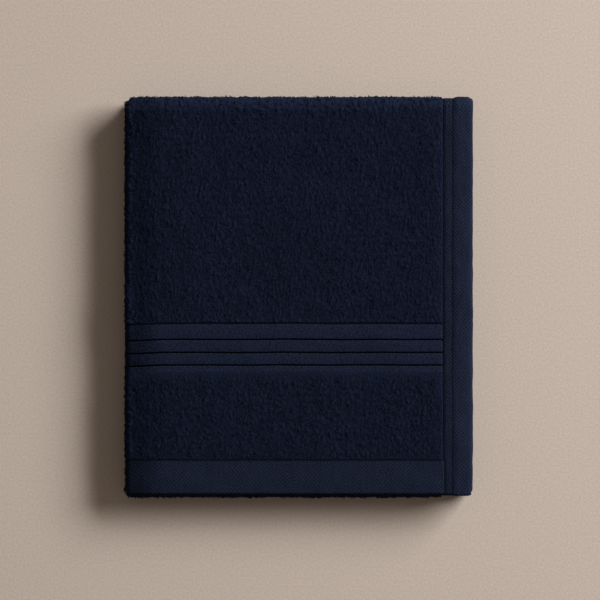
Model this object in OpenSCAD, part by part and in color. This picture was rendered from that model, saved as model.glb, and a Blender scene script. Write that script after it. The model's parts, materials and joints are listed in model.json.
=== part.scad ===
// Folded bath towel.
//
// One towel, folded in half across its width and then in three along its
// length like an accordion, so that it lies as three panels of two layers.
// The origin is on the table under the middle of the stack: +X points to the
// side hems, -Y to the end hem on top, and +Z up. The half fold is on the left.
//
// A cloth profile is drawn flat and swept. Its t is the distance from the middle
// of a panel, out through the thickness of one layer. Each panel is drawn with its
// free end at -Y and its fold at +Y, and is then turned and lifted into place.

/* [Towel] */
// Width of the open towel, across both side hems
towel_width = 762; // [500:1:1000]
// Length of the folded stack, from fold to fold
stack_length = 440; // [300:1:600]
// Thickness of one layer of terry, pile included
terry_t = 5.6; // [3:0.1:9]
// Clearance between neighbouring layers
layer_gap = 0.4; // [0.2:0.1:1]
// How far a free end stops short of the fold under or over it
end_setback = 4.4; // [1:0.1:12]

/* [Hems] */
// Thickness of a folded and pressed hem
hem_t = 4.2; // [2:0.1:5.6]
// Width of a side hem
side_hem_w = 31.4; // [12:0.1:50]
// Depth of an end hem
end_hem_d = 35.6; // [15:0.1:60]
// Radius of the hem corner at a free end, seen from above
corner_r = 6; // [1:0.5:12]

/* [Border] */
// Distance from the end of the towel to the border
border_inset = 134.6; // [80:0.1:180]
// Width of the flat strip on the hem side of the ribs
edge_strip_w = 6.6; // [3:0.1:12]
// Width of the rib nearest the hem
rib_3_w = 12.5; // [6:0.1:25]
// Width of the middle rib
rib_2_w = 13.0; // [6:0.1:25]
// Width of the rib nearest the middle of the towel
rib_1_w = 16.2; // [6:0.1:25]
// Width of the groove beside each rib
groove_w = 1.3; // [0.5:0.1:3]
// Thickness of the flat strip, and of a rib at its edges
border_t = 4.4; // [2:0.1:5.2]
// How far the crowns of a rib rise over its edges, both faces together
rib_crown = 0.8; // [0.2:0.1:1.2]
// Thickness of the ground weave in a groove
groove_t = 1.8; // [0.8:0.1:3]

/* [Seams] */
// Diameter of the sewing thread
thread_d = 0.6; // [0.3:0.05:1]
// Depth of the channel that a seam pulls into the hem
seam_depth = 0.5; // [0.2:0.05:1]
// Distance from a hem's inner edge to its edge seam
edge_seam = 1.2; // [0.8:0.1:4]
// Distance from a side hem's inner edge to its second seam
second_seam = 9.0; // [4:0.1:12]

/* [Hidden] */

$fn = 48;
CROWN_FN = 180;                            // a rib's crown is a short arc of a wide circle
NAVY = "#1c2742";
NAVY_FLAT = "#26324f";
NAVY_HEM = "#2b3756";
THREAD = "#0d1424";

// Heights: each panel is two layers, and each layer of a panel is folded cloth
panel_t = 2 * terry_t + layer_gap;         // a panel, from face to face
panel_pitch = panel_t + layer_gap;         // from one panel up to the next
half_panel = panel_t / 2;
half_gap = layer_gap / 2;
layer_mid = half_gap + terry_t / 2;        // middle of a layer, from the panel's middle

// Across the towel
right_x = towel_width / 4;                 // folded in half, and centred
hem_x = right_x - side_hem_w;              // where the side hems begin
bend_x = half_panel - right_x;             // axis of the half fold

// Along the towel
fold_r = half_panel + half_gap;            // a fold's radius at the middle of its panel
fold_y = stack_length / 2;                 // outermost line of a fold
roll_y = fold_y - half_panel - fold_r;     // axis that a fold turns about
loose_y = roll_y - layer_gap;              // where a panel that turns on a fold starts
free_y = fold_y - end_setback;             // where a free end stops

// Distances along the towel from its free end
edge_start = border_inset;
rib_3_start = edge_start + edge_strip_w + groove_w;
rib_2_start = rib_3_start + rib_3_w + groove_w;
rib_1_start = rib_2_start + rib_2_w + groove_w;
field_start = rib_1_start + rib_1_w + groove_w;
field_y = field_start - free_y;

// Seams, measured from the edge that the hem is folded on
end_seam_at = [end_hem_d - edge_seam];
side_seams_at = [side_hem_w - edge_seam, side_hem_w - second_seam];

// ---------------------------------------------------------------- profiles

// A plain band of cloth, [y, t], from a to b along the towel.
module flat_band(a, b, t) {
    translate([a, layer_mid - t / 2]) square([b - a, t]);
}

// A raised rib whose two faces swell to a crown between its edges, with the
// groove of bare ground weave beside it, on its hem side.
module rib_band(a, w, t, crown) {
    crown_r = (w * w / 4 + crown * crown) / (2 * crown);
    intersection() {
        flat_band(a, a + w, t);
        translate([a + w / 2, layer_mid + t / 2 - crown_r]) circle(r = crown_r, $fn = CROWN_FN);
        translate([a + w / 2, layer_mid - t / 2 + crown_r]) circle(r = crown_r, $fn = CROWN_FN);
    }
    flat_band(a - groove_w, a, groove_t);
}

// A hem folded back on itself: its outer edge, at 0, is round.
module nosed_band(b, t) {
    translate([t / 2, layer_mid]) circle(d = t);
    flat_band(t / 2, b, t);
}

// A hem with the channels that its seams pull into both faces.
module seamed_band(b, t, seams) {
    difference() {
        nosed_band(b, t);
        for (p = seams, s = [-1, 1])
            translate([p, layer_mid + s * t / 2])
                square([2 * thread_d, 2 * seam_depth], center = true);
    }
}

// The threads of lockstitch seams: one in each channel.
module seam_threads(t, seams) {
    for (p = seams, s = [-1, 1])
        translate([p, layer_mid + s * (t / 2 - seam_depth + thread_d / 2)]) circle(d = thread_d);
}

// ---------------------------------------------------------------- sweeps

// Stands for a panel's own frame: its middle plane, and which way its free end lies.
module on_panel(level, free_to_front) {
    translate([0, 0, half_panel + level * panel_pitch])
        mirror([0, free_to_front ? 0 : 1, 0]) children();
}

// Sweeps a [distance from the free end, t] profile across the towel: over the upper
// layer, round the half fold and back along the lower layer.
module across() {
    translate([bend_x, -free_y, 0]) {
        for (side = [0, 1])
            mirror([0, 0, side]) rotate([90, 0, 90]) linear_extrude(hem_x - bend_x) children();
        rotate([-90, 90, 0]) rotate_extrude(angle = 180) mirror([1, -1]) children();
    }
}

// The section of a double layer, [x, t], from the half fold to the side hems.
module double_section(t) {
    for (s = [-1, 1])
        translate([bend_x, s * layer_mid - t / 2]) square([hem_x - bend_x, t]);
    translate([bend_x, 0]) difference() {
        circle(r = layer_mid + t / 2);
        circle(r = layer_mid - t / 2);
        translate([0, -panel_t]) square([panel_t, 2 * panel_t]);
    }
}

// Puts a side hem's profile on its edge, in the upper and the lower layer or in one.
module at_side(layers) {
    for (layer = layers)
        mirror([0, layer > 0 ? 0 : 1]) translate([right_x, 0]) mirror([1, 0]) children();
}

// Sweeps an [x, t] section straight along the towel, from a to b.
module along(a, b) {
    translate([0, b, 0]) rotate([90, 0, 0]) linear_extrude(b - a) children();
}

// Rolls an [x, t] section half a turn, up from this panel to the one above.
module rolled() {
    translate([0, roll_y, fold_r])
        rotate([0, 90, 0]) rotate_extrude(angle = 180) translate([fold_r, 0]) mirror([1, -1]) children();
}

// Rounds the corner of a side hem at the free end.
module corner_cut() {
    difference() {
        children();
        translate([right_x - corner_r, corner_r - free_y, -panel_t]) linear_extrude(2 * panel_t)
            difference() {
                translate([0, -2 * corner_r]) square(2 * corner_r);
                circle(r = corner_r);
            }
    }
}

// ---------------------------------------------------------------- pieces

module terry(a, b) {
    color(NAVY) along(a, b) double_section(terry_t);
}

// Plain pile with the last groove of the border at its start.
module field_from_border(b) {
    terry(field_y, b);
    color(NAVY_FLAT) along(field_y - groove_w, field_y) double_section(groove_t);
}

module terry_end() {
    color(NAVY) across() flat_band(end_hem_d, edge_start, terry_t);
}

module border_edge() {
    color(NAVY_FLAT) across() flat_band(edge_start, edge_start + edge_strip_w, border_t);
}

module border_rib(start, width) {
    color(NAVY_FLAT) across() rib_band(start, width, border_t + rib_crown, rib_crown);
}

module end_hem() {
    color(NAVY_HEM) across() seamed_band(end_hem_d, hem_t, end_seam_at);
}

module end_seam() {
    color(THREAD) across() seam_threads(hem_t, end_seam_at);
}

module side_hem(layer, a, b) {
    color(NAVY_HEM) along(a, b) at_side([layer]) seamed_band(side_hem_w, hem_t, side_seams_at);
}

module side_seams(a, b) {
    color(THREAD) along(a, b) at_side([1, -1]) seam_threads(hem_t, side_seams_at);
}

module fold_terry() {
    color(NAVY) rolled() double_section(terry_t);
}

module fold_side_hems() {
    color(NAVY_HEM) rolled() at_side([1, -1]) seamed_band(side_hem_w, hem_t, side_seams_at);
}

module fold_seams() {
    color(THREAD) rolled() at_side([1, -1]) seam_threads(hem_t, side_seams_at);
}

// The bottom panel: its free end is at the back, and the front fold rises from it.
module base() { on_panel(0, false) children(); }
base() field_from_border(roll_y);  // base_terry_field
base() terry_end();  // base_terry_end
base() border_rib(rib_1_start, rib_1_w);  // back_border_rib_1
base() border_rib(rib_2_start, rib_2_w);  // back_border_rib_2
base() border_rib(rib_3_start, rib_3_w);  // back_border_rib_3
base() border_edge();  // back_border_edge
base() end_hem();  // back_end_hem
base() end_seam();  // back_end_seam
base() corner_cut() side_hem(1, -free_y, roll_y);  // base_upper_side_hem
base() corner_cut() side_hem(-1, -free_y, roll_y);  // base_lower_side_hem
base() side_seams(thread_d - free_y, roll_y);  // base_side_seams
base() fold_terry();  // front_fold_terry
base() fold_side_hems();  // front_fold_side_hems
base() fold_seams();  // front_fold_seams

// The middle panel: it turns on the front fold, and the back fold rises from it.
module middle() { on_panel(1, true) children(); }
middle() terry(-loose_y, roll_y);  // middle_terry_field
middle() side_hem(1, -loose_y, roll_y);  // middle_upper_side_hem
middle() side_hem(-1, -loose_y, roll_y);  // middle_lower_side_hem
middle() side_seams(-loose_y, roll_y);  // middle_side_seams
middle() fold_terry();  // back_fold_terry
middle() fold_side_hems();  // back_fold_side_hems
middle() fold_seams();  // back_fold_seams

// The top panel: it turns on the back fold, and its free end is at the front.
module top() { on_panel(2, true) children(); }
top() field_from_border(loose_y);  // top_terry_field
top() terry_end();  // top_terry_end
top() border_rib(rib_1_start, rib_1_w);  // front_border_rib_1
top() border_rib(rib_2_start, rib_2_w);  // front_border_rib_2
top() border_rib(rib_3_start, rib_3_w);  // front_border_rib_3
top() border_edge();  // front_border_edge
top() end_hem();  // front_end_hem
top() end_seam();  // front_end_seam
top() corner_cut() side_hem(1, -free_y, loose_y);  // top_upper_side_hem
top() corner_cut() side_hem(-1, -free_y, loose_y);  // top_lower_side_hem
top() side_seams(thread_d - free_y, loose_y);  // top_side_seams
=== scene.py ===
# A bath towel, folded once across its width and then in three like an accordion.
# The script makes it in the order it is laid down: the bottom panel, the front
# fold, the middle panel, the back fold, and the top panel with its border showing.
import json
import math

import bmesh
import bpy
import numpy as np
from mathutils import Matrix, Vector


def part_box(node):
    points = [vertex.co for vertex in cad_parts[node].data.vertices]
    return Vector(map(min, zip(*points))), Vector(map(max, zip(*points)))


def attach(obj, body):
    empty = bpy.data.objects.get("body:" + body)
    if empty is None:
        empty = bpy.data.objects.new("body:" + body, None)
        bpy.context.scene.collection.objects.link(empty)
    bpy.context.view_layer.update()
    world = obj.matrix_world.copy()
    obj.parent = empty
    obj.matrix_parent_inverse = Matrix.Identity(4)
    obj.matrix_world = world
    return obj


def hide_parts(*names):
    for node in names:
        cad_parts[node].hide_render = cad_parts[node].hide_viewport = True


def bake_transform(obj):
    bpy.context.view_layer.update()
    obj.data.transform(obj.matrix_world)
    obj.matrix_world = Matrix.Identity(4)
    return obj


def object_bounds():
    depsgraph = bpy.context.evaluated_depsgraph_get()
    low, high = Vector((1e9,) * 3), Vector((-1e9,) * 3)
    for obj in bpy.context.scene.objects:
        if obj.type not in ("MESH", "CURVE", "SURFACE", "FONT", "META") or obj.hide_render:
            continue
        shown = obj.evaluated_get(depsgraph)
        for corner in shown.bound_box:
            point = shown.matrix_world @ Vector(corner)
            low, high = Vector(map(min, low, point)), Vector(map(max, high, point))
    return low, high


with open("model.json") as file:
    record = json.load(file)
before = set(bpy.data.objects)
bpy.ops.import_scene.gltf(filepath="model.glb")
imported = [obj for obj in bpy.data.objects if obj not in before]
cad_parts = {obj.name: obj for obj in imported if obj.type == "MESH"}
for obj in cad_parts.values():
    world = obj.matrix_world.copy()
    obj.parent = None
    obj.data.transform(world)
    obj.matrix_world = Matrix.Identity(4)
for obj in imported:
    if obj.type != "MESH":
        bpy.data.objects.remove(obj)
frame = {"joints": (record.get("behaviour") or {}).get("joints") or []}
cad_low, cad_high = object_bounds()

# ---------------------------------------------------------------- Camera
# A long lens straight above the towel, so that its sides stay hidden. The towel
# lies a little up and left of the middle of the view, which is that many metres wide.
VIEW_WIDTH = 0.658
LENS = 250.0
SENSOR = 36.0
OVER_X, OVER_Y = 0.0016, -0.0033
camera = bpy.data.objects.new("camera", bpy.data.cameras.new("camera"))
bpy.context.scene.collection.objects.link(camera)
camera.data.lens = LENS
camera.data.sensor_width = SENSOR
camera.data.clip_end = 50.0
camera.location = (OVER_X, OVER_Y, cad_high.z + VIEW_WIDTH * LENS / SENSOR)
bpy.context.scene.camera = camera


# ---------------------------------------------------------------- Table and light
# The towel lies on a matt, putty-coloured board with a fine grain. One large window
# lights it from the upper right, and the room fills in the shadows a little.
class Signal:
    """A socket of a material. Sums written on it become Math nodes."""

    def __init__(self, finish, socket):
        self.finish, self.socket = finish, socket

    def _sum(self, operation, a, b):
        return self.finish.add("ShaderNodeMath", {"operation": operation}, {0: a, 1: b})

    def __add__(self, other):
        return self._sum("ADD", self, other)

    def __sub__(self, other):
        return self._sum("SUBTRACT", self, other)

    def __rsub__(self, other):
        return self._sum("SUBTRACT", other, self)

    def __mul__(self, other):
        return self._sum("MULTIPLY", self, other)

    __radd__ = __add__
    __rmul__ = __mul__


class Finish:
    """A material and the nodes that make it."""

    def __init__(self, name):
        self.material = bpy.data.materials.new(name)
        self.material.use_nodes = True
        self.tree = self.material.node_tree
        self.surface = self.tree.nodes["Principled BSDF"]

    def add(self, kind, settings, sockets, output=0):
        """A node of that kind. Its settings are set first, and then its sockets take
        values or signals."""
        node = self.tree.nodes.new(kind)
        for key, value in settings.items():
            setattr(node, key, value)
        for key, value in sockets.items():
            self.feed(node.inputs[key], value)
        return Signal(self, node.outputs[output])

    def feed(self, socket, value):
        """Gives a socket a fixed value, or links a signal to it."""
        if isinstance(value, Signal):
            self.tree.links.new(value.socket, socket)
        else:
            socket.default_value = value

    def mix(self, share, first, second):
        """One colour or signal of colour shading into another."""
        return self.add("ShaderNodeMix", {"data_type": "RGBA"}, {0: share, 6: first, 7: second}, 2)

    def grain(self, at, scale, detail=2.0, roughness=0.5):
        """Soft specks, of that many to the metre."""
        sockets = {"Vector": at, "Scale": scale, "Detail": detail, "Roughness": roughness}
        return self.add("ShaderNodeTexNoise", {}, sockets)

    def stretch(self, at, scale, turn=0.0):
        """The same place with the pattern stretched and turned."""
        sockets = {"Vector": at, "Scale": scale, "Rotation": (0, 0, turn)}
        return self.add("ShaderNodeMapping", {}, sockets)

    def bump(self, height, strength, distance):
        """The normal of a surface with that relief."""
        sockets = {"Height": height, "Strength": strength, "Distance": distance}
        return self.add("ShaderNodeBump", {}, sockets)

    def set(self, **values):
        """Sets the surface's own sockets, named with underscores for spaces."""
        for key, value in values.items():
            self.feed(self.surface.inputs[key.replace("_", " ")], value)


def put(name, bm):
    """An object of that bmesh, in the scene."""
    mesh = bpy.data.meshes.new(name)
    bm.to_mesh(mesh)
    bm.free()
    thing = bpy.data.objects.new(name, mesh)
    bpy.context.scene.collection.objects.link(thing)
    return thing


TABLE_SIZE = 8.0
PUTTY_SHADE = (0.432, 0.362, 0.312, 1)
PUTTY_LIGHT = (0.552, 0.464, 0.400, 1)
board = Finish("putty_board")
board_at = board.add("ShaderNodeTexCoord", {}, {}, 3)
board_grain = board.grain(board_at, 420.0, 3.0, 0.6)
board_cloud = board.grain(board_at, 2.2, 2.0, 0.5)
board.set(
    Base_Color=board.mix(board_cloud * 0.12 + board_grain * 1.8 - 0.43, PUTTY_SHADE, PUTTY_LIGHT),
    Roughness=0.85,
    Specular_IOR_Level=0.25,
    Normal=board.bump(board_grain, 0.25, 0.0004),
)
bm = bmesh.new()
bmesh.ops.create_grid(bm, x_segments=8, y_segments=8, size=TABLE_SIZE / 2)
table = put("table", bm)
table.data.materials.append(board.material)

WINDOW_SIDES = (4.2, 2.1)
WINDOW_WATTS = 795.0
WINDOW_COLOUR = (0.987, 0.992, 0.995)
WINDOW_AT = (4.77, 2.80, 2.44)
ROOM_COLOUR = (1.0, 0.87, 0.757, 1)
ROOM_STRENGTH = 0.192
window = bpy.data.objects.new("window", bpy.data.lights.new("window", "AREA"))
bpy.context.scene.collection.objects.link(window)
window.data.shape = "RECTANGLE"
window.data.size, window.data.size_y = WINDOW_SIDES
window.data.energy = WINDOW_WATTS
window.data.color = WINDOW_COLOUR
window.location = WINDOW_AT
window.rotation_euler = (-window.location).to_track_quat("-Z", "Y").to_euler()

room = bpy.data.worlds.new("room")
room.use_nodes = True
backdrop = room.node_tree.nodes["Background"]
backdrop.inputs["Color"].default_value = ROOM_COLOUR
backdrop.inputs["Strength"].default_value = ROOM_STRENGTH
bpy.context.scene.world = room
bpy.context.scene.view_settings.view_transform = "Standard"

# ---------------------------------------------------------------- Bottom panel: terry
# Two layers of terry cotton: the towel was first folded in half, so every band of
# cloth runs across the top layer, round the half fold on the left and back below.
# The panel's free end, with its border and hem, lies at the back.
MM = 0.001

# A panel's thickness, the gap between its two layers, a layer's own thickness and how
# far its middle is from the panel's; then how far that is from a cross fold's axis.
field_low, field_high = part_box("base_terry_field")
joints = {j["name"]: j for j in frame["joints"]}
front_axis = joints["front_fold"]["pos_m"]
back_axis = joints["back_fold"]["pos_m"]
PANEL_T = field_high.z - field_low.z
GAP = 2 * (front_axis[2] - field_high.z)
LAYER_T = (PANEL_T - GAP) / 2
LAYER_MID = (GAP + LAYER_T) / 2
FOLD_R = (PANEL_T + GAP) / 2

# Where the half fold's bend and the side seams are, and how far the cloth runs from the
# fold's crest to the end of the bend and to the seam.
LEFT_X = cad_low.x
RIGHT_X = cad_high.x
SEAM_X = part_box("base_upper_side_hem")[0].x
BEND_X = LEFT_X + PANEL_T / 2
HALF_ARC = LAYER_MID * math.pi / 2
ACROSS = HALF_ARC + SEAM_X - BEND_X


def crosswise(s, t):
    """x, and the height over the panel's middle, of a point of cloth: s metres from
    the half fold's crest, into the upper layer if above 0, and t out from the middle
    of the layer."""
    turn = np.clip(s, -HALF_ARC, HALF_ARC) / LAYER_MID
    past = np.abs(s) - np.abs(turn) * LAYER_MID
    reach = LAYER_MID + t
    return BEND_X + past - reach * np.cos(turn), reach * np.sin(turn)


class Run:
    """A straight stretch of the towel: one panel, with its middle at height z."""

    def __init__(self, start, y, z, way, up):
        self.start, self.y, self.z, self.way, self.up = start, y, z, way, up

    def place(self, v, q):
        """y and z of a point v metres along the towel and q over the panel's middle."""
        return self.y + self.way * (v - self.start), self.z + self.up * q


class Roll:
    """Half a turn of the towel round a fold's axis. It ends at the lower panel."""

    def __init__(self, end, y, z, out, up):
        self.end, self.y, self.z, self.out, self.up = end, y, z, out, up

    def place(self, v, q):
        """y and z of a point v metres along the towel and q out from the roll's middle."""
        turn = (self.end - v) / FOLD_R
        reach = FOLD_R - self.up * q
        return self.y + self.out * reach * np.sin(turn), self.z - reach * np.cos(turn)


# The towel's length from the end hem on top, v = 0, to the one at the bottom.
top_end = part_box("front_end_hem")[0].y
base_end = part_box("back_end_hem")[1].y
TURN = math.pi * FOLD_R
PANEL = back_axis[1] - front_axis[1]
V_BACK = back_axis[1] - top_end
V_MIDDLE = V_BACK + TURN
V_FRONT = V_MIDDLE + PANEL
V_BASE = V_FRONT + TURN
V_END = V_BASE + base_end - front_axis[1]
# The cloth of a fold reaches this far into the panels beside it.
LAP = 0.6 * MM
top_run = Run(0.0, top_end, back_axis[2] + FOLD_R, 1, 1)
back_roll = Roll(V_MIDDLE, back_axis[1], back_axis[2], 1, -1)
middle_run = Run(V_MIDDLE, back_axis[1], back_axis[2] - FOLD_R, -1, -1)
front_roll = Roll(V_BASE, front_axis[1], front_axis[2], -1, 1)
base_run = Run(V_BASE, front_axis[1], front_axis[2] - FOLD_R, 1, 1)


def from_end(v):
    """Distance along the towel from its nearer free end."""
    return np.minimum(v, V_END - v)


def hash_slope(i, j, seed):
    """A slope in a direction that is fixed for each corner of the grid, but looks random."""
    h = (i * 374761393 + j * 668265263 + seed * 2147483647) & 0xFFFFFFFF
    h = ((h ^ (h >> 13)) * 1274126177) & 0xFFFFFFFF
    turn = ((h ^ (h >> 16)) & 0xFFFF) * (2 * math.pi / 65536)
    return np.cos(turn), np.sin(turn)


def waves(p, q, seed):
    """Smooth random heights, about -1 to 1, over a grid of spacing 1. The same every run."""
    p, q = np.broadcast_arrays(p, q)
    i, j = np.floor(p).astype(np.int64), np.floor(q).astype(np.int64)
    f, g = p - i, q - j
    total = 0.0
    a, b = f * f * f * (f * (f * 6 - 15) + 10), g * g * g * (g * (g * 6 - 15) + 10)
    for di, wi in ((0, 1 - a), (1, a)):
        for dj, wj in ((0, 1 - b), (1, b)):
            gx, gy = hash_slope(i + di, j + dj, seed)
            total = total + wi * wj * (gx * (f - di) + gy * (g - dj))
    return 1.5 * total


def smooth(x):
    """From 0 to 1 without a corner at either end."""
    x = np.clip(x, 0, 1)
    return x * x * (3 - 2 * x)


def bell(d, width):
    """1 where d is 0, and falling to nothing on both sides of it."""
    return np.exp(-((d / width) ** 2))


def rounded(d, r):
    """1 away from an edge, and 0 on it, along a quarter circle of radius r."""
    return np.sqrt(np.clip(1 - (1 - np.clip(d / r, 0, 1)) ** 2, 0, 1))


def slope_off(d, reach, drop):
    """How far cloth falls away towards an edge at distance d, steepest at the edge."""
    return drop * (1 - np.clip(d / reach, 0, 1)) ** 2


# How the stack settles. A cloth as large as the towel is dropped on the layers below:
# they are thinner under the hems, rounded off at the folds and a little lumpy. The
# stiff hems let it draw in sideways only a little, and its small wrinkles are smoothed
# out. Every layer then sinks with it, and the higher ones sink most. It starts DROP
# above the layers, which stop it TOUCHING away.
SETTLE_STEP = 7 * MM
SETTLE_FRAMES = 24
BED_MARGIN = 1.08
DROP = 2.2 * MM
TOUCHING = 1.0 * MM
LEAST_SINKING = 0.2 * MM
HELD_BY_HEMS = 0.3
IRONING = 2
SPAN = Vector((RIGHT_X - LEFT_X, cad_high.y - cad_low.y))
columns, rows = (round(side / SETTLE_STEP) for side in SPAN)


def sunk_bed(x, y):
    """The height of the layers below, which is under 0, their full height."""
    swells = 0.50 * MM * waves(x / 0.075 + 3.1, y / 0.085 + 1.7, 5)
    lumps = 0.12 * MM * waves(x / 0.03, y / 0.035, 6)
    side_hems_thinner = 1.0 * MM * smooth((x - SEAM_X + 4 * MM) / (10 * MM))
    end_hem_thinner = 0.7 * MM * smooth((top_end + 40 * MM - y) / (8 * MM))
    left = slope_off(x - LEFT_X, 46 * MM, 5.2 * MM)
    right = side_hems_thinner + slope_off(RIGHT_X - x, 20 * MM, 3.4 * MM)
    back = slope_off(cad_high.y - y, 16 * MM, 2.6 * MM)
    front = end_hem_thinner + slope_off(y - top_end, 12 * MM, 1.0 * MM)
    return swells + lumps - 0.6 * MM - left - right - back - front


def settle():
    """Drops the cloth and returns how far each of its points moved, in rows from front to back."""
    scene = bpy.context.scene
    bed_bm, sheet_bm = bmesh.new(), bmesh.new()
    bmesh.ops.create_grid(bed_bm, x_segments=2 * columns, y_segments=2 * rows, size=0.5)
    bmesh.ops.create_grid(sheet_bm, x_segments=columns, y_segments=rows, size=0.5)
    for bm, grow in ((bed_bm, BED_MARGIN), (sheet_bm, 1.0)):
        bmesh.ops.scale(bm, vec=(SPAN.x * grow, SPAN.y * grow, 1), verts=bm.verts[:])
    for vert in bed_bm.verts:
        vert.co.z = float(sunk_bed(np.float64(vert.co.x), np.float64(vert.co.y)))
    bmesh.ops.translate(sheet_bm, vec=(0, 0, DROP), verts=sheet_bm.verts[:])
    bed = put("settling_bed", bed_bm)
    cloth = put("settling_cloth", sheet_bm)
    start = np.array([vert.co for vert in cloth.data.vertices])
    bed.modifiers.new("bed", "COLLISION")
    bed.collision.thickness_outer = TOUCHING
    bed.collision.cloth_friction = 15
    drop = cloth.modifiers.new("drop", "CLOTH")
    drop.settings.quality = 6
    drop.settings.mass = 0.003
    drop.settings.tension_stiffness = 12
    drop.settings.compression_stiffness = 12
    drop.settings.shear_stiffness = 6
    drop.settings.bending_stiffness = 0.6
    drop.settings.air_damping = 2
    drop.collision_settings.distance_min = TOUCHING
    drop.collision_settings.collision_quality = 3
    drop.point_cache.frame_end = SETTLE_FRAMES
    for step in range(1, SETTLE_FRAMES + 1):
        scene.frame_set(step)
    settled = cloth.evaluated_get(bpy.context.evaluated_depsgraph_get())
    end = np.array([vert.co for vert in settled.data.vertices])
    scene.frame_set(1)
    for thing in (cloth, bed):
        mesh = thing.data
        bpy.data.objects.remove(thing)
        bpy.data.meshes.remove(mesh)
    moved = end - start
    moved[:, 2] -= LEAST_SINKING + moved[:, 2].max()
    moved[:, :2] *= HELD_BY_HEMS
    order = np.lexsort((start[:, 0].round(5), start[:, 1].round(5)))
    moved = moved[order].reshape(rows + 1, columns + 1, 3)
    for _ in range(IRONING):
        wide = np.pad(moved, ((1, 1), (1, 1), (0, 0)), mode="edge")
        beside = wide[:-2, 1:-1] + wide[2:, 1:-1] + wide[1:-1, :-2] + wide[1:-1, 2:]
        moved = (beside + 2 * moved) / 6
    return moved


sinking = settle()

# Pile lower than this is pressed together, so that none of it goes through the table.
PRESSED = 0.6 * MM


def laid(x, y, z):
    """Where a point of the flat stack ends up once the towel has settled."""
    a = np.clip((x - LEFT_X) / SPAN.x, 0, 1) * columns
    b = np.clip((y - cad_low.y) / SPAN.y, 0, 1) * rows
    i, j = np.minimum(a.astype(int), columns - 1), np.minimum(b.astype(int), rows - 1)
    f, g = (a - i)[:, None], (b - j)[:, None]
    nearer = (1 - f) * sinking[j, i] + f * sinking[j, i + 1]
    farther = (1 - f) * sinking[j + 1, i] + f * sinking[j + 1, i + 1]
    moved = (1 - g) * nearer + g * farther
    z = np.where(z < PRESSED, PRESSED * np.exp(np.minimum(z / PRESSED - 1, 0)), z)
    share = np.clip(z / cad_high.z, 0, 1)[:, None] ** 2
    return np.stack([x, y, z], axis=1) + share * moved


SIDE_W = RIGHT_X - SEAM_X
END_HEM_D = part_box("front_end_hem")[1].y - top_end
# The stack's corners: +1 at the left or -1 at the right and that edge, +1 at the back or
# -1 at the front and that edge, and the radius.
CORNERS = [
    (1, LEFT_X, 1, cad_high.y, 10 * MM),
    (1, LEFT_X, -1, top_end, 5 * MM),
    (-1, RIGHT_X, 1, cad_high.y, 5 * MM),
    (-1, RIGHT_X, -1, top_end, 5 * MM),
]


def corner_rounded(x, y):
    """The stack seen from above, with its four corners drawn in to quarter circles."""
    for side, edge, up, far, r in CORNERS:
        a = np.clip((edge + side * r - x) * side / r, 0, None)
        b = np.clip((y - far + up * r) * up / r, 0, None)
        drawn = np.where((a > 0) & (b > 0), np.maximum(a, b) / np.maximum(np.hypot(a, b), 1e-9), 1.0)
        x, y = x + side * r * a * (1 - drawn), y - up * r * b * (1 - drawn)
    return x, y


def pulled(s, v):
    """Where a point of cloth is once washing has drawn the bands and seams a little out of line."""
    e, away = from_end(v), np.abs(s)
    near_bend = 1 - smooth(away / (44 * MM))
    at_border = smooth((e - 50 * MM) / (70 * MM)) * (1 - smooth((e - 190 * MM) / (70 * MM)))
    at_hem_seam = bell(e - END_HEM_D, 14 * MM) * smooth(e / (15 * MM))
    at_free_end = 1 - smooth(e / (14 * MM))
    in_side_hem = smooth((away - ACROSS - 5 * MM) / (8 * MM))
    dip = (1.15 + 1.6 * near_bend) * MM * at_border - 1.2 * MM * at_hem_seam
    dip = dip + (1.0 + 1.9 * in_side_hem) * MM * at_free_end
    wander = 0.35 * MM * waves(s / 0.05 + 2.0, e / 0.05, 31) * smooth(e / (20 * MM))
    toward_end = np.where(v < V_END - v, -1.0, 1.0)
    over_hem = 1 - smooth((e - END_HEM_D + 1.5 * MM) / (3 * MM))
    shift = (1.6 * over_hem - 0.6) * MM * bell(away - ACROSS, 5 * MM)
    shift = shift + 0.35 * MM * waves(v / 0.045, 0.5 * np.sign(s), 32)
    frayed = (0.55 * waves(v / 0.021, np.sign(s), 33) + 1.1) * MM
    edge = smooth((away - ACROSS) / SIDE_W) * frayed
    beside_bend = smooth(away / (60 * MM))
    return s + np.sign(s) * beside_bend * (shift + edge), v + toward_end * (dip - wander)


def on_towel(run, s, v, t):
    """Where a point of cloth lies in the folded towel."""
    s, v = pulled(s, v)
    x, q = crosswise(s, t)
    y, z = run.place(v, q)
    x, y = corner_rounded(x, y)
    return laid(x, y, z)


def spread(a, b, step):
    """Even places from a to b, at most about a step apart."""
    return np.linspace(a, b, max(2, 1 + math.ceil(abs(b - a) / step - 0.01)))


def stations(*stretches):
    """Places for the threads of a grid: each stretch is (from, to, spacing)."""
    places = [spread(*stretch) for stretch in stretches]
    return np.concatenate([places[0]] + [p[1:] for p in places[1:]])


def vertex_places(piece):
    """Where a piece's vertices are, one row each."""
    at = np.empty(3 * len(piece.data.vertices))
    piece.data.vertices.foreach_get("co", at)
    return at.reshape(-1, 3)


def cover(piece, s, v, bright):
    """Gives a piece of cloth its pattern map, the places across and along the towel, and
    how bright each point is, from 0 to 1, painted light and shade included."""
    mesh = piece.data
    corner = np.empty(len(mesh.loops), np.int32)
    mesh.loops.foreach_get("vertex_index", corner)
    cloth = np.stack([s, v], axis=1)[corner]
    mesh.uv_layers.new(name="cloth").data.foreach_set("uv", cloth.ravel())
    tips = mesh.attributes.new("tips", "FLOAT", "POINT")
    tips.data.foreach_set("value", bright.astype(np.float32))


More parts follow.
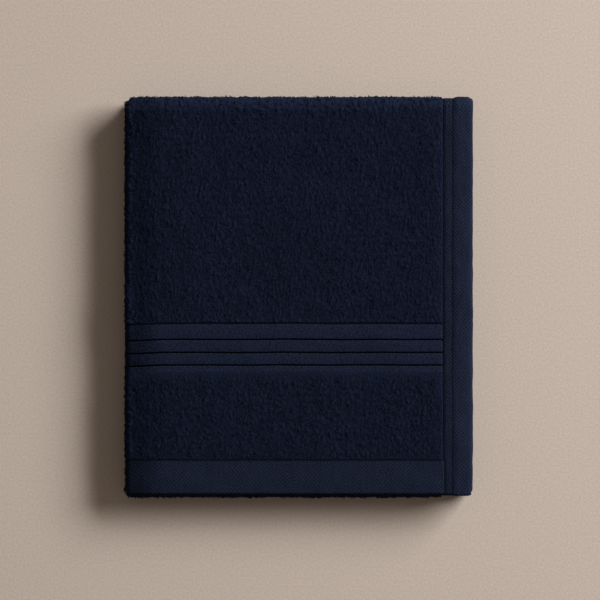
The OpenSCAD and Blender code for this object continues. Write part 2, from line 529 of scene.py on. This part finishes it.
def lay(piece, run, s, v, t, finish):
    """Lays a piece on the towel, turns its faces outwards and gives it its material."""
    mesh = piece.data
    mesh.vertices.foreach_set("co", on_towel(run, s, v, t).ravel())
    mesh.polygons.foreach_set("use_smooth", np.ones(len(mesh.polygons), bool))
    mesh.update()
    bm = bmesh.new()
    bm.from_mesh(mesh)
    bmesh.ops.recalc_face_normals(bm, faces=bm.faces[:])
    bm.to_mesh(mesh)
    bm.free()
    mesh.materials.append(finish.material)
    return piece


# Patches of cloth in one piece are made this far above each other, to be told apart.
PATCH_GAP = 4


def patch_grid(bm, number, across, along):
    """A flat grid with its outer face 1 above its inner one, closed at the edges."""
    sides = {"x_segments": len(across) - 1, "y_segments": len(along) - 1}
    grid = bmesh.ops.create_grid(bm, size=0.5, **sides)["verts"]
    flat = list({face for vert in grid for face in vert.link_faces})
    made = bmesh.ops.extrude_face_region(bm, geom=flat, use_keep_orig=True)["geom"]
    lifted = [g for g in made if isinstance(g, bmesh.types.BMVert)]
    bmesh.ops.translate(bm, vec=(0, 0, 1), verts=lifted)
    bmesh.ops.translate(bm, vec=(0, 0, number * PATCH_GAP), verts=grid + lifted)


def closed_cloth(name, run, patches, finish):
    """Closed cloth on the towel, in one or more patches of (across, along, faces): its places
    across and along the towel, and a rule for its outer face, its inner face and how bright
    the outer one is, from 0 to 1."""
    bm = bmesh.new()
    for number, (across, along, _) in enumerate(patches):
        patch_grid(bm, number, across, along)
    bm.normal_update()
    for face in bm.faces:
        if abs(face.normal.z) < 0.5:
            for edge in face.edges:
                edge.smooth = False
    piece = put(name, bm)
    at = vertex_places(piece)
    owner = np.rint((at[:, 2] - 0.5) / PATCH_GAP).astype(int)
    outside = at[:, 2] - owner * PATCH_GAP > 0.5
    s, v, t, bright = (np.zeros(len(at)) for _ in range(4))
    for number, (across, along, faces) in enumerate(patches):
        mine = owner == number
        s[mine] = across[np.rint((at[mine, 0] + 0.5) * (len(across) - 1)).astype(int)]
        v[mine] = along[np.rint((at[mine, 1] + 0.5) * (len(along) - 1)).astype(int)]
        outer, inner, shine = faces(s[mine], v[mine])
        t[mine] = np.where(outside[mine], outer, inner)
        bright[mine] = np.where(outside[mine], shine, 0.5)
    cover(piece, s, v, bright)
    return lay(piece, run, s, v, t, finish)


def painted_half_fold_shade(s):
    """1 near the half fold and 0 elsewhere: painted shade, which darkens the cloth where it turns
    from the light.
    """
    return 1 - smooth((np.abs(s) - 12 * MM) / (34 * MM))


def loop_pile(s, v):
    """How far a washed pile stands up and how bright it is: plump tufts of loops with painted
    shade in the gaps between them, leaning together in patches, and fuller on the folds,
    which are painted paler, as painted light with some wear."""
    lean = 0.007 * waves(s / 0.060, v / 0.034, 11) + 0.0022 * waves(s / 0.015, v / 0.012, 12)
    a = s + lean
    b = v + 0.0018 * waves(s / 0.009, v / 0.012, 13)
    locks = np.abs(waves(a / 0.0050, b / 0.0072, 21))
    tufts = np.abs(waves(a / 0.0038 + 7.7, b / 0.0042, 22))
    clumps = waves(s / 0.014, v / 0.018, 23)
    height = 0.90 * locks + 1.15 * tufts + 0.14 * clumps - 0.59
    at_half_fold = bell(s, 9 * MM)
    at_back_fold = smooth((v - V_BACK + 8 * MM) / (8 * MM)) * (v < V_MIDDLE)
    at_front_fold = smooth((v - V_FRONT) / (8 * MM)) * smooth((V_BASE - v) / (8 * MM))
    plump = np.clip(at_half_fold + at_back_fold + at_front_fold, 0, 1)
    at_seam = smooth((np.abs(s) - ACROSS + 12 * MM) / (10 * MM))
    # The tone is painted paler on the folds, as painted light with some wear, and paler beside the
    # side seams; painted shade darkens it beside the half fold.
    wear_and_painted_light = 0.45 * at_half_fold + 0.40 * at_back_fold + 0.90 * at_front_fold + 0.22 * at_seam
    wear_and_painted_light = wear_and_painted_light - 0.22 * painted_half_fold_shade(s)
    crest = bell(s, 4 * MM) + at_front_fold
    rise = height * (1 + 0.5 * plump) + 0.7 * plump + 0.7 * crest
    # Lower pile gets a darker tone: painted shade in the gaps between the tufts.
    return rise * MM, np.clip(0.46 + wear_and_painted_light + 0.60 * height, 0, 1)


# Terry: dyed navy all through. Its colour is painted darker between the tufts and paler at
# their tips, which is painted shade, and carries painted light and shade on and beside the folds.
PILE_DEEP = (0.0012, 0.0020, 0.0056, 1)
PILE_TIP = (0.0103, 0.0155, 0.0362, 1)
terry = Finish("navy_terry_pile")
terry_at = terry.add("ShaderNodeUVMap", {"uv_map": "cloth"}, {})
terry_tone_and_painted_light = terry.add("ShaderNodeAttribute", {"attribute_name": "tips"}, {}, 2)
loops = terry.grain(terry.stretch(terry_at, (1.0, 0.85, 1.0), 0.12), 700.0, 2.0, 0.6)
wisps = terry.grain(terry.stretch(terry_at, (1.0, 0.70, 1.0), -0.2), 420.0, 2.0, 0.5)
wear = terry.grain(terry_at, 14.0, 2.0, 0.5)
tone = terry_tone_and_painted_light * 0.52 + loops + wisps * 0.6 + wear * 0.15 - 0.68
terry.set(
    Base_Color=terry.mix(tone, PILE_DEEP, PILE_TIP),
    Roughness=0.95,
    Specular_IOR_Level=0.03,
    Sheen_Weight=0.02,
    Sheen_Roughness=0.5,
    Sheen_Tint=(0.45, 0.55, 0.85, 1),
    Normal=terry.bump(loops * 0.7 + wisps * 0.9, 0.6, 0.0016),
)

# Half the thickness of the bare ground weave and of the terry, how far in from a seam
# the pile is at its full height, how bright it is where no loops stand, and how deep the
# gaps between its tufts reach into the terry.
GROUND_H = 0.9 * MM
TERRY_H = LAYER_T / 2
EDGE_ROUND = 3.4 * MM
PLAIN_TONE = 0.45
PILE_SUNK = 0.45 * MM


def terry_faces(ends):
    """Both faces of terry. Each end is (its distance from the free end, half the cloth's
    thickness there, and how far in the pile reaches its full height, below 0 where the
    terry lies nearer to the free end). Flattened pile beside the border is paler."""

    def faces(s, v):
        e = from_end(v)
        to_seam = ACROSS - np.abs(s)
        half = GROUND_H + (TERRY_H - GROUND_H) * rounded(to_seam, EDGE_ROUND)
        fade = smooth(to_seam / (3 * MM))
        flat_tone = PLAIN_TONE
        for place, floor, reach in ends:
            inward = (e - place) / reach
            half = np.minimum(half, floor + (TERRY_H - floor) * rounded(inward, 1))
            fade = fade * smooth(inward)
            if reach < 0:
                flat_tone = PLAIN_TONE + 0.22 * (1 - smooth(0.7 * inward))
        up, bright = loop_pile(s, v)
        outer = half + (up - PILE_SUNK) * fade
        return outer, -half, flat_tone + (bright - PLAIN_TONE) * fade

    return faces


def around(upper, lower):
    """Places across the towel from one side seam to the other, for those spacings in the
    upper and lower layers."""
    flat = HALF_ARC + 12 * MM
    return stations(
        (-ACROSS, EDGE_ROUND - ACROSS, 0.8 * MM),
        (EDGE_ROUND - ACROSS, -flat, lower),
        (-flat, flat, min(upper, 1.2 * MM)),
        (flat, ACROSS - EDGE_ROUND, upper),
        (ACROSS - EDGE_ROUND, ACROSS, 0.8 * MM),
    )


def declare(piece, nodes, body, flat=None):
    """Hides the parts that a piece of cloth stands for, and hangs the piece on its body if it has
    one.
    """
    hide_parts(*nodes)
    if body:
        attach(piece, body)
    return piece


def terry_piece(name, run, along, steps, ends, nodes, body=None):
    """A length of terry from side hem to side hem, round the half fold."""
    piece = closed_cloth(name, run, [(around(*steps), along, terry_faces(ends))], terry)
    return declare(piece, nodes, body, (2 * ACROSS, abs(along[-1] - along[0])))


# The bands of the towel, by their distance from its free end. A groove of bare
# ground weave lies on the hem side of each rib, and one before the plain pile.
GROOVE_W = 1.3 * MM
EDGE_STRIP = [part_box("front_border_edge")[i].y - top_end for i in (0, 1)]
RIBS = {n: [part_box(f"front_border_rib_{n}")[i].y - top_end for i in (0, 1)] for n in (3, 2, 1)}
FIELD_START = RIBS[1][1]
FIELD_ENDS = [(FIELD_START + GROOVE_W, GROUND_H, 1.8 * MM)]
END_PILE_ENDS = [(END_HEM_D, 1.6 * MM, 2.4 * MM), (EDGE_STRIP[0], 2.1 * MM, -12 * MM)]


def field_along(last, step):
    """Places along the main pile, from the border's last groove."""
    pile = FIELD_START + GROOVE_W
    full = pile + EDGE_ROUND
    return stations((FIELD_START, pile, GROOVE_W / 2), (pile, full, 0.6 * MM), (full, last, step))


def end_pile_along(step):
    """Places along the short pile between the end hem and the border."""
    full = END_HEM_D + EDGE_ROUND
    return stations((END_HEM_D, full, 0.7 * MM), (full, EDGE_STRIP[0], step))


# Mesh spacings are fine where a layer shows and coarse where others hide it.
BASE_STEPS = (2.4 * MM, 5 * MM)
BASE_LENGTH = V_END - V_BASE - LAP
terry_piece(
    "base_main_pile",
    base_run,
    V_END - field_along(BASE_LENGTH, 2.4 * MM),
    BASE_STEPS,
    FIELD_ENDS,
    ["base_terry_field"],
    "base_panel",
)
terry_piece(
    "base_end_pile",
    base_run,
    V_END - end_pile_along(2.4 * MM),
    BASE_STEPS,
    END_PILE_ENDS,
    ["base_terry_end"],
    "base_panel",
)

# ---------------------------------------------------------------- Bottom panel: border
# Three flat-woven ribs and a flat strip, woven in one with the terry but without
# its loops, so they lie lower and smoother. They swell a little between the grooves.
WEAVE_DEEP = (0.0006, 0.0010, 0.0028, 1)
WEAVE_BRIGHT = (0.0150, 0.0218, 0.0480, 1)
flat_weave = Finish("navy_flat_weave")
weave_at = flat_weave.add("ShaderNodeUVMap", {"uv_map": "cloth"}, {})
weave_tone_and_painted_shade = flat_weave.add("ShaderNodeAttribute", {"attribute_name": "tips"}, {}, 2)
weft = flat_weave.grain(flat_weave.stretch(weave_at, (0.6, 1.0, 1.0), 0.7), 800.0, 1.0, 0.5)
warp = flat_weave.grain(flat_weave.stretch(weave_at, (1.0, 0.3, 1.0)), 700.0, 1.0, 0.5)
weave_wear = flat_weave.grain(weave_at, 24.0, 2.0, 0.5)
# The tone attribute brings painted shade to the grooves and to the cloth beside the half fold.
weave_tone = weave_tone_and_painted_shade + weft * 1.5 + warp * 0.6 + weave_wear * 0.12 - 1.15
flat_weave.set(
    Base_Color=flat_weave.mix(weave_tone, WEAVE_DEEP, WEAVE_BRIGHT),
    Roughness=0.85,
    Specular_IOR_Level=0.04,
    Normal=flat_weave.bump(weft * 0.6 + warp * 0.6, 0.35, 0.0005),
)

# Half the thickness of the strip and ribs, and how much a rib swells in its middle.
strip_low, strip_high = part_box("front_border_edge")
STRIP_H = (strip_high.z - strip_low.z) / 2 - LAYER_MID
CROWN = 0.4 * MM


def rib_faces(start, end):
    """Both faces of a rib between those distances from the free end, and of its groove."""

    def faces(s, v):
        e = from_end(v)
        into = e - start - GROOVE_W
        edge = rounded(np.minimum(into, end - e), 0.7 * MM)
        seam = rounded(ACROSS - np.abs(s), 2 * MM)
        crown = CROWN * np.sin(np.pi * np.clip(into / (end - start - GROOVE_W), 0, 1)) ** 0.7
        soft = 0.06 * MM * waves(s / 0.014, e / 0.006, 41)
        half = GROUND_H + (STRIP_H - GROUND_H + crown + soft) * edge * seam
        # Painted shade: the tone is darker in the grooves, on the rib's rounded edges and beside the
        # half fold.
        tone = 0.58 * smooth(2 * edge * seam) + 0.03 * waves(s / 0.03, e / 0.01, 42)
        return half, -half, tone - 0.21 * painted_half_fold_shade(s)

    return faces


def strip_faces(s, v):
    """Both faces of the flat strip beside the third rib."""
    e = from_end(v)
    edge = rounded(EDGE_STRIP[1] - e, 0.7 * MM)
    seam = rounded(ACROSS - np.abs(s), 2 * MM)
    half = GROUND_H + (STRIP_H - GROUND_H) * edge * seam
    # Painted shade: the tone is darker at the strip's rounded edges and beside the half fold.
    tone = 0.62 * smooth(2 * edge * seam) + 0.03 * waves(s / 0.02, e / 0.01, 43)
    return half, -half, tone - 0.16 * painted_half_fold_shade(s)


def border(prefix, run, place, steps, body):
    """The ribs, each with its groove, and the flat strip. place turns a distance from the
    free end into one along the towel."""
    across = around(*steps)
    start, end = EDGE_STRIP
    along = stations((start, end - 1.2 * MM, 1.4 * MM), (end - 1.2 * MM, end, 0.3 * MM))
    patch = (across, place(along), strip_faces)
    strip = closed_cloth(f"{prefix}_flat_strip", run, [patch], flat_weave)
    trimmings = [declare(strip, [f"{prefix}_border_edge"], body)]
    for n, (start, end) in RIBS.items():
        rib = start + GROOVE_W
        along = stations(
            (start, rib, GROOVE_W / 2),
            (rib, rib + 1.2 * MM, 0.3 * MM),
            (rib + 1.2 * MM, end - 1.2 * MM, 1.5 * MM),
            (end - 1.2 * MM, end, 0.3 * MM),
        )
        patch = (across, place(along), rib_faces(start, end))
        piece = closed_cloth(f"{prefix}_rib_{n}", run, [patch], flat_weave)
        nodes = [f"{prefix}_border_rib_{n}"]
        declare(piece, nodes, body, (2 * ACROSS, end - start))
        trimmings = []


def from_base_end(e):
    """The place along the towel at that distance from the bottom panel's free end."""
    return V_END - e


border("back", base_run, from_base_end, BASE_STEPS, "base_panel")

# ---------------------------------------------------------------- Bottom panel: hems
# The hems are the towel's flat-woven edges, folded under and pressed. Their twill
# ridges run slantwise. Lockstitch holds the end hem once and each side hem twice,
# and pulls a channel into the cloth.
hem_low, hem_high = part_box("base_upper_side_hem")
HEM_H = (hem_high.z - hem_low.z) / 2
EDGE_SEAM = 1.2 * MM
SECOND_SEAM = 9.6 * MM
TWILL_PITCH = 2.93 * MM
CROSSING_PITCH = 3.1 * MM
# A diagonal Wave texture of this scale has its lines a metre apart.
DIAGONAL_WAVE = 2 * math.pi / (10 * math.sqrt(2))
TWILL_DEEP = (0.0007, 0.0012, 0.0034, 1)
TWILL_BRIGHT = (0.0150, 0.0227, 0.0490, 1)

twill = Finish("navy_hem_twill")
twill_at = twill.add("ShaderNodeUVMap", {"uv_map": "cloth"}, {})
twill_tone_and_painted_light = twill.add("ShaderNodeAttribute", {"attribute_name": "tips"}, {}, 2)


def slanting_lines(at, pitch):
    """Lines that run diagonally and waver a little, at that pitch."""
    return twill.add(
        "ShaderNodeTexWave",
        {"wave_type": "BANDS", "bands_direction": "DIAGONAL", "wave_profile": "SIN"},
        {
            "Vector": at,
            "Scale": DIAGONAL_WAVE / pitch,
            "Distortion": 2.0,
            "Detail": 1.0,
            "Detail Scale": 0.8,
        },
    )


ridges = slanting_lines(twill_at, TWILL_PITCH)
crossing = slanting_lines(twill.stretch(twill_at, (1.0, 1.0, 1.0), math.pi / 2), CROSSING_PITCH)
yarns = twill.grain(twill_at, 1200.0, 1.0, 0.5)
slubs = twill.grain(twill.stretch(twill_at, (1.0, 0.25, 1.0), 0.785), 260.0, 2.0, 0.5)
hem_wear = twill.grain(twill_at, 22.0, 2.0, 0.5)
hem_weave = ridges * 0.22 + crossing * 0.14 + yarns * 2.8 + slubs * 0.40
# The tone attribute brings painted shade to the stitch channels and hem edges, and a painted
# highlight to the side hems' outer edges.
hem_tone = twill_tone_and_painted_light * 1.2 + hem_weave + hem_wear * 0.12 - 1.94
twill.set(
    Base_Color=twill.mix(hem_tone, TWILL_DEEP, TWILL_BRIGHT),
    Roughness=0.85,
    Specular_IOR_Level=0.05,
    Normal=twill.bump(ridges * 0.35 + crossing * 0.15 + yarns * 0.4, 0.35, 0.0005),
)


# Half the width of the channel that a row of stitches pulls into the cloth.
CHANNEL = 0.8 * MM
SECOND_CHANNEL = 0.65 * MM


def end_hem_faces(s, v):
    """Both faces of an end hem, with its channel."""
    e = from_end(v)
    inner_edge = rounded(END_HEM_D - e + 0.25 * MM, 1.1 * MM)
    seam = rounded(ACROSS - np.abs(s) + 0.6 * MM, 1.6 * MM)
    stitched = bell(e - END_HEM_D + EDGE_SEAM, CHANNEL)
    puckers = 1 + 0.35 * waves(s / 0.0032, 0.5 + 0 * s, 51)
    soft = 0.16 * MM * waves(s / 0.020, e / 0.012, 52) * smooth(e / (6 * MM))
    edge = np.minimum(inner_edge, seam)
    half = HEM_H * rounded(e, HEM_H) * edge
    # Painted shade: the tone is darker in the stitch channel, along the hem's inner edge under the
    # pile and beside the half fold.
    tone = 0.5 - 0.42 * stitched - 0.5 * (1 - edge) - 0.20 * painted_half_fold_shade(s)
    tone = tone + 0.03 * waves(s / 0.04, e / 0.02, 53)
    return half + soft - 0.5 * MM * stitched * puckers, 0.5 * MM * stitched - half, tone


def side_hem_faces(s, v):
    """Both faces of a side hem: a flat strip between two channels, then the thicker hem."""
    e, into = from_end(v), np.abs(s) - ACROSS
    hem = smooth((into - SECOND_SEAM) / (5 * MM))
    body = (0.80 + 0.20 * hem) * HEM_H
    stitched = bell(into - EDGE_SEAM, CHANNEL) + bell(into - SECOND_SEAM, SECOND_CHANNEL)
    puckers = 1 + 0.6 * waves(v / 0.0031, np.rint(into / (8 * MM)), 54)
    soft = (0.10 + 0.16 * hem) * MM * waves(into / 0.012, v / 0.016, 55)
    nose = np.minimum(rounded(SIDE_W - into, HEM_H), rounded(e, HEM_H))
    inner_edge = rounded(into + 0.2 * MM, 0.9 * MM)
    half = body * nose * inner_edge
    # Painted highlight with some wear: the hem's tone grows paler towards its outer rolled edge,
    # where the light catches it.
    wear_and_painted_light = smooth((into - SIDE_W + 14 * MM) / (13 * MM))
    painted_rim_highlight = smooth((into - SIDE_W + 6 * MM) / (3.5 * MM))
    # Painted shade: the tone is darker in the stitch channels and along the hem's inner edge beside
    # the pile.
    tone = 0.41 - 0.21 * stitched * puckers - 0.3 * (1 - inner_edge)
    tone = tone + 0.10 * wear_and_painted_light + 0.14 * painted_rim_highlight + 0.03 * hem
    over_back = smooth((v - V_BACK + 6 * MM) / (10 * MM)) * (v < V_MIDDLE) * (s > 0)
    swell = 1.1 * MM * hem * over_back + soft - 0.5 * MM * stitched * puckers
    return half + swell * nose, 0.4 * MM * stitched * nose - half, tone


def end_hem(prefix, run, place, steps, body):
    """The hem at a free end. place turns a distance from that end into one along the towel."""
    along = stations(
        (0, 2.2 * MM, 0.3 * MM),
        (2.2 * MM, END_HEM_D - 4 * MM, 1.6 * MM),
        (END_HEM_D - 4 * MM, END_HEM_D, 0.35 * MM),
    )
    patch = (around(*steps), place(along), end_hem_faces)
    piece = closed_cloth(f"{prefix}_hem", run, [patch], twill)
    declare(piece, [f"{prefix}_end_hem"], body, (2 * ACROSS, END_HEM_D))


def side_patch(layer, along):
    """A side hem's patch, in the upper layer (1) or the lower one (-1)."""
    into = stations(
        (0, 2.4 * MM, 0.4 * MM),
        (2.4 * MM, SECOND_SEAM - 1.4 * MM, 1.4 * MM),
        (SECOND_SEAM - 1.4 * MM, SECOND_SEAM + 1.4 * MM, 0.4 * MM),
        (SECOND_SEAM + 1.4 * MM, SIDE_W - 6 * MM, 1.7 * MM),
        (SIDE_W - 6 * MM, SIDE_W - 3 * MM, 1.0 * MM),
        (SIDE_W - 3 * MM, SIDE_W, 0.3 * MM),
    )
    return layer * (ACROSS + into), along, side_hem_faces


def side_hems(panel, run, spans, body):
    """A panel's two side hems. spans gives the places along the one in each layer."""
    for layer, word in ((1, "upper"), (-1, "lower")):
        along = spans[layer]
        patch = side_patch(layer, along)
        piece = closed_cloth(f"{panel}_{word}_selvedge_hem", run, [patch], twill)
        nodes = [f"{panel}_{word}_side_hem"]
        declare(piece, nodes, body, (SIDE_W, abs(along[-1] - along[0])))


# Sewing thread: each stitch is a short bar of thread that dips in at both ends.
THREAD_D = 0.6 * MM
STITCH_PITCH = 3.1 * MM
STITCH_LENGTH = 2.6 * MM
THREAD_SUNK = 0.55 * MM
THREAD_DEEP = (0.0020, 0.0032, 0.0090, 1)
THREAD_BRIGHT = (0.0090, 0.0135, 0.0310, 1)
thread = Finish("navy_sewing_thread")
thread_at = thread.add("ShaderNodeTexCoord", {}, {}, 3)
twist = thread.grain(thread_at, 2600.0, 1.0, 0.5)
thread.set(
    Base_Color=thread.mix(twist, THREAD_DEEP, THREAD_BRIGHT),
    Roughness=0.75,
    Specular_IOR_Level=0.1,
    Normal=thread.bump(twist, 0.3, 0.0002),
)


def copies(name, bm, count):
    """An object of that many copies of one small shape, and their vertices, one row for
    each copy."""
    one = bpy.data.meshes.new("one")
    bm.to_mesh(one)
    bm.clear()
    for _ in range(count):
        bm.from_mesh(one)
    bpy.data.meshes.remove(one)
    piece = put(name, bm)
    return piece, vertex_places(piece).reshape(count, -1, 3)


def stitches(name, run, seams, nodes, body=None):
    """Rows of lockstitch, on both faces of the cloth. Each seam is (its s or an array of them,
    its v or an array of them, and the direction it runs in: (1, 0) across the towel or (0, 1)
    along it)."""
    rows_s, rows_v, rows_t, rows_d = [], [], [], []
    for s, v, direction in seams:
        s, v = np.broadcast_arrays(s, v)
        for face in (1, -1):
            rows_s.append(s)
            rows_v.append(v)
            rows_t.append(np.full(s.shape, face * (HEM_H - THREAD_SUNK)))
            rows_d.append(np.tile(direction, (len(s), 1)))
    s, v, t = (np.concatenate(r)[:, None] for r in (rows_s, rows_v, rows_t))
    d = np.concatenate(rows_d)
    bm = bmesh.new()
    bmesh.ops.create_uvsphere(bm, u_segments=6, v_segments=4, radius=0.5)
    piece, at = copies(name, bm, len(s))
    forward = at[:, :, 2] * STITCH_LENGTH
    sideways = at[:, :, 0] * THREAD_D + 0.12 * forward
    arch = 0.18 * MM * (1 - (2 * at[:, :, 2]) ** 2) * np.sign(t)
    stitch_s = s + d[:, :1] * forward + d[:, 1:] * sideways
    stitch_v = v + d[:, 1:] * forward + d[:, :1] * sideways
    stitch_t = t + at[:, :, 1] * THREAD_D + arch
    lay(piece, run, stitch_s.ravel(), stitch_v.ravel(), stitch_t.ravel(), thread)
    return declare(piece, nodes, body)


def side_rows(low, high):
    """The side hems' four seams between two places along the towel."""
    v = np.arange(low + STITCH_PITCH / 2, high - STITCH_PITCH / 4, STITCH_PITCH)
    seams = (EDGE_SEAM, SECOND_SEAM)
    return [(layer * (ACROSS + into), v, (0, 1)) for layer in (1, -1) for into in seams]


def end_row(place):
    """The end hem's seam, from one side hem to the other."""
    s = np.arange(-ACROSS + STITCH_PITCH, ACROSS - STITCH_PITCH / 2, STITCH_PITCH)
    return [(s, place(END_HEM_D - EDGE_SEAM), (1, 0))]


def hem_along(low, high, step):
    """Places along a side hem that starts with a round end."""
    return stations((low, low + 2.2 * MM, 0.3 * MM), (low + 2.2 * MM, high, step))


# The stitches stop this far from a side hem's round end.
HEM_CLEAR = 2 * MM
end_hem("back", base_run, from_base_end, BASE_STEPS, "base_panel")
stitches("back_end_lockstitch", base_run, end_row(from_base_end), ["back_end_seam"], "base_panel")
base_spans = {
    1: V_END - hem_along(0, BASE_LENGTH, 2.0 * MM),
    -1: V_END - hem_along(0, BASE_LENGTH, 3.2 * MM),
}
side_hems("base", base_run, base_spans, "base_panel")
base_rows = side_rows(V_BASE, V_END - HEM_CLEAR)
stitches("base_side_lockstitch", base_run, base_rows, ["base_side_seams"], "base_panel")

# ---------------------------------------------------------------- Loose loops
# Washing pulls single loops of the pile up. They are cotton yarn, rooted in the terry,
# and show along the folds and here and there on the faces.
YARN_R = 0.22 * MM
LOOP_R = 1.1 * MM
LOOP_SUNK = 0.25 * MM
LOOP_TONE = 0.62
loop_places = np.random.default_rng(7)


def yarn_loop():
    """Half a ring of yarn that stands on its two feet, of radius 1."""
    bm = bmesh.new()
    middle = {"cent": (0, 0, 0)}
    upright = Matrix.Rotation(math.pi / 2, 3, "X")
    ring = bmesh.ops.create_circle(bm, segments=3, radius=YARN_R / LOOP_R)["verts"]
    bmesh.ops.rotate(bm, matrix=upright, verts=ring, **middle)
    bmesh.ops.translate(bm, vec=(1, 0, 0), verts=ring)
    bmesh.ops.rotate(bm, matrix=upright, verts=ring, **middle)
    outline = bm.verts[:] + bm.edges[:]
    half_turn = {"axis": (0, 1, 0), "angle": -math.pi, "dvec": (0, 0, 0)}
    bmesh.ops.spin(bm, geom=outline, steps=6, use_merge=False, **half_turn, **middle)
    bmesh.ops.holes_fill(bm, edges=[e for e in bm.edges if e.is_boundary], sides=3)
    return bm


def loose_loops(name, run, count, s_range, v_range, ends, body=None):
    """Loops of yarn that stand on the pile and lean over, at places scattered over that patch."""
    s = loop_places.uniform(*s_range, count)
    v = loop_places.uniform(*v_range, count)
    heading = loop_places.uniform(0, math.pi, count)[:, None]
    size = LOOP_R * loop_places.uniform(0.6, 1.25, count)[:, None]
    root = terry_faces(ends)(s, v)[0] - LOOP_SUNK
    piece, at = copies(name, yarn_loop(), count)
    wide, thick, tall = at[:, :, 0] * size * 0.8, at[:, :, 1] * size, at[:, :, 2] * size * 1.1
    leaning = thick + 0.5 * tall
    loop_s = (s[:, None] + np.cos(heading) * wide - np.sin(heading) * leaning).ravel()
    loop_v = (v[:, None] + np.sin(heading) * wide + np.cos(heading) * leaning).ravel()
    loop_t = (root[:, None] + tall).ravel()
    cover(piece, loop_s, loop_v, np.full(loop_s.shape, LOOP_TONE))
    lay(piece, run, loop_s, loop_v, loop_t, terry)
    if body:
        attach(piece, body)
    return piece


# Bands of the towel for loops: round the half fold, and clear of the edges of the pile.
CREST = (-6 * MM, 9 * MM)
CLEAR = 4 * MM
base_field = (V_BASE + CLEAR, V_END - FIELD_START - CLEAR)
loose_loops("base_loose_loops", base_run, 330, CREST, base_field, [], "base_panel")

# ---------------------------------------------------------------- Front fold
# The bottom and middle panels are one cloth, rolled through half a turn at the front.
# Its pile, side hems and stitching go round together.
FOLD_STEPS = (1.8 * MM, 2.4 * MM)


def fold(word, run, start, end):
    """A fold's cloth, hems and thread, rolled round between the panels that it joins. Loops
    stand on the layer that is outside."""
    along = stations((start - LAP, end + LAP, 0.9 * MM))
    pile = terry_piece(f"{word}_fold_pile", run, along, FOLD_STEPS, [], [f"{word}_fold_terry"])
    sides = [side_patch(1, along), side_patch(-1, along)]
    hems = closed_cloth(f"{word}_fold_hems", run, sides, twill)
    hem_size = (2 * SIDE_W, along[-1] - along[0])
    declare(hems, [f"{word}_fold_side_hems"], None, hem_size)
    rows = side_rows(start, end)
    seams = stitches(f"{word}_fold_lockstitch", run, rows, [f"{word}_fold_seams"])
    outside = (CLEAR - ACROSS, HALF_ARC) if run.up > 0 else (-HALF_ARC, ACROSS - CLEAR)
    loops_out = loose_loops(f"{word}_fold_loops", run, 650, outside, (start, end), [])
    for piece in (pile, hems, seams, loops_out):
        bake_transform(piece)


fold("front", front_roll, V_FRONT, V_BASE)

# ---------------------------------------------------------------- Middle panel
# Two layers of plain terry between their side hems. It has no free end and no border.
MIDDLE = (V_MIDDLE + LAP, V_FRONT - LAP)
terry_piece(
    "middle_main_pile",
    middle_run,
    stations((*MIDDLE, 2.4 * MM)),
    (5 * MM, 2.4 * MM),
    [],
    ["middle_terry_field"],
    "middle_panel",
)
middle_spans = {1: stations((*MIDDLE, 3.2 * MM)), -1: stations((*MIDDLE, 2.0 * MM))}
side_hems("middle", middle_run, middle_spans, "middle_panel")
middle_rows = side_rows(V_MIDDLE, V_FRONT)
stitches("middle_side_lockstitch", middle_run, middle_rows, ["middle_side_seams"], "middle_panel")
middle_field = (V_MIDDLE + CLEAR, V_FRONT - CLEAR)
loose_loops("middle_loose_loops", middle_run, 330, CREST, middle_field, [], "middle_panel")

# ---------------------------------------------------------------- Back fold
# The middle and top panels are one cloth too, and this roll is the stack's back edge.
fold("back", back_roll, V_BACK, V_MIDDLE)

# ---------------------------------------------------------------- Top panel
# The same cloth as the bottom panel, with its free end at the front, and the finest
# mesh on its upper layer, which is what shows.


def from_top_end(e):
    """The place along the towel at that distance from the top panel's free end."""
    return e


TOP_LENGTH = V_BACK - LAP
TOP_STEPS = (1.2 * MM, 9 * MM)
terry_piece(
    "top_main_pile",
    top_run,
    field_along(TOP_LENGTH, 1.8 * MM),
    TOP_STEPS,
    FIELD_ENDS,
    ["top_terry_field"],
    "top_panel",
)
terry_piece(
    "top_end_pile",
    top_run,
    end_pile_along(1.7 * MM),
    TOP_STEPS,
    END_PILE_ENDS,
    ["top_terry_end"],
    "top_panel",
)
border("front", top_run, from_top_end, (1.8 * MM, 5 * MM), "top_panel")
end_hem("front", top_run, from_top_end, (1.2 * MM, 5 * MM), "top_panel")
stitches("front_end_lockstitch", top_run, end_row(from_top_end), ["front_end_seam"], "top_panel")
top_spans = {1: hem_along(0, TOP_LENGTH, 1.0 * MM), -1: hem_along(0, TOP_LENGTH, 3.2 * MM)}
side_hems("top", top_run, top_spans, "top_panel")
top_rows = side_rows(HEM_CLEAR, V_BACK)
stitches("top_side_lockstitch", top_run, top_rows, ["top_side_seams"], "top_panel")
top_field = (FIELD_START + CLEAR, V_BACK - CLEAR)
upper_face = (HALF_ARC, ACROSS - CLEAR)
loose_loops("top_fold_loops", top_run, 300, CREST, top_field, FIELD_ENDS, "top_panel")
loose_loops("top_face_loops", top_run, 2200, upper_face, top_field, FIELD_ENDS, "top_panel")
end_field = (END_HEM_D + 3 * MM, EDGE_STRIP[0] - 2 * CLEAR)
upper_and_bend = (-HALF_ARC, ACROSS - CLEAR)
loose_loops("top_end_loops", top_run, 900, upper_and_bend, end_field, END_PILE_ENDS, "top_panel")
